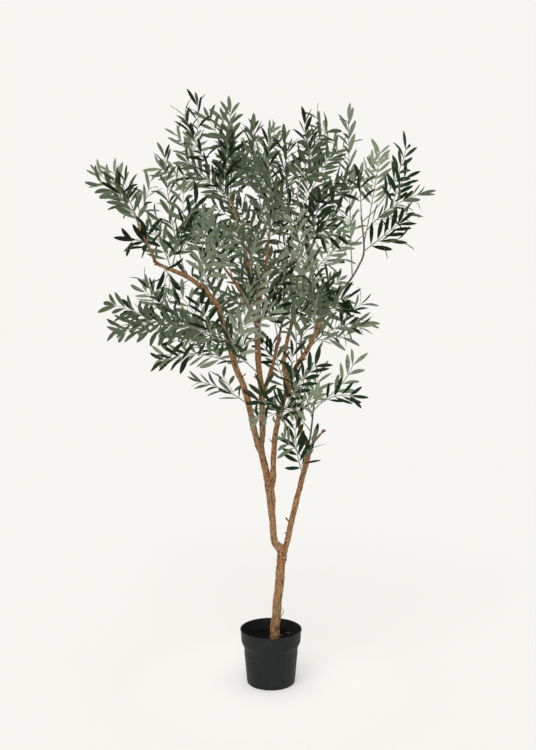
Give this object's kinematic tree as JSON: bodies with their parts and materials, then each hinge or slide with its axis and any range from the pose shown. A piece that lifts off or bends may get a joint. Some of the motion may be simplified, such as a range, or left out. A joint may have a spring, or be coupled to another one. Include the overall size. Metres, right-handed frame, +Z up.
{
  "type": "artificial potted olive tree",
  "caption": "Artificial olive tree: forked wooden limbs with airy sprays of slim grey-green leaves, standing in a small round matte black pot.",
  "frame": {"origin": "centre of the pot's flat underside", "axes": "+Z up along the tree's height, +X to the tree's right and -Y to its front as pictured"},
  "size_m": [1.2384, 0.93, 2.1205],
  "materials": {
    "pot": "matte black moulded plastic",
    "fill": "dark cast fill, rough",
    "bark": "dry fibrous reddish-brown bark",
    "stem": "matte pale grey-green wrapped wire",
    "foliage": "matte fabric leaves, deep green above and grey-green below"
  },
  "bodies": {
    "root": {"pot": "pot", "fill": "fill", "trunk": "bark", "left_stem": "bark", "middle_bough": "bark", "right_stem": "bark", "right_bough": "bark", "left_bough": "bark", "left_arm": "bark", "front_bough": "bark", "inner_bough": "bark", "upper_bough": "bark", "rear_bough": "bark", "cut_stub": "bark", "right_wand": "stem", "centre_wand": "stem", "low_wand": "stem", "left_tip_low": "foliage", "left_tip_high": "foliage", "left_upright": "foliage", "left_arm_inner": "foliage", "left_cluster": "foliage", "left_hanging": "foliage", "left_arm_front": "foliage", "left_low_high": "foliage", "left_low_tip": "foliage", "left_lower": "foliage", "left_bottom": "foliage", "left_front": "foliage", "crown_left": "foliage", "crown_left_back": "foliage", "crown_top": "foliage", "middle_front": "foliage", "middle_back": "foliage", "crown_mid_left": "foliage", "crown_mid": "foliage", "crown_back": "foliage", "crown_mid_right": "foliage", "back_right": "foliage", "low_front": "foliage", "inner_left": "foliage", "crown_right": "foliage", "front_middle": "foliage", "centre_right": "foliage", "centre_back_right": "foliage", "front_right": "foliage", "right_low": "foliage", "right_cluster": "foliage", "crown_right_far": "foliage", "right_mid": "foliage", "right_back": "foliage", "right_tip_mid": "foliage", "right_tip_high": "foliage", "right_top": "foliage", "low_right_high": "foliage", "low_right_low": "foliage", "low_right_inner": "foliage", "rear_high": "foliage", "rear_left": "foliage", "rear_right": "foliage"}
  },
  "joints": []
}
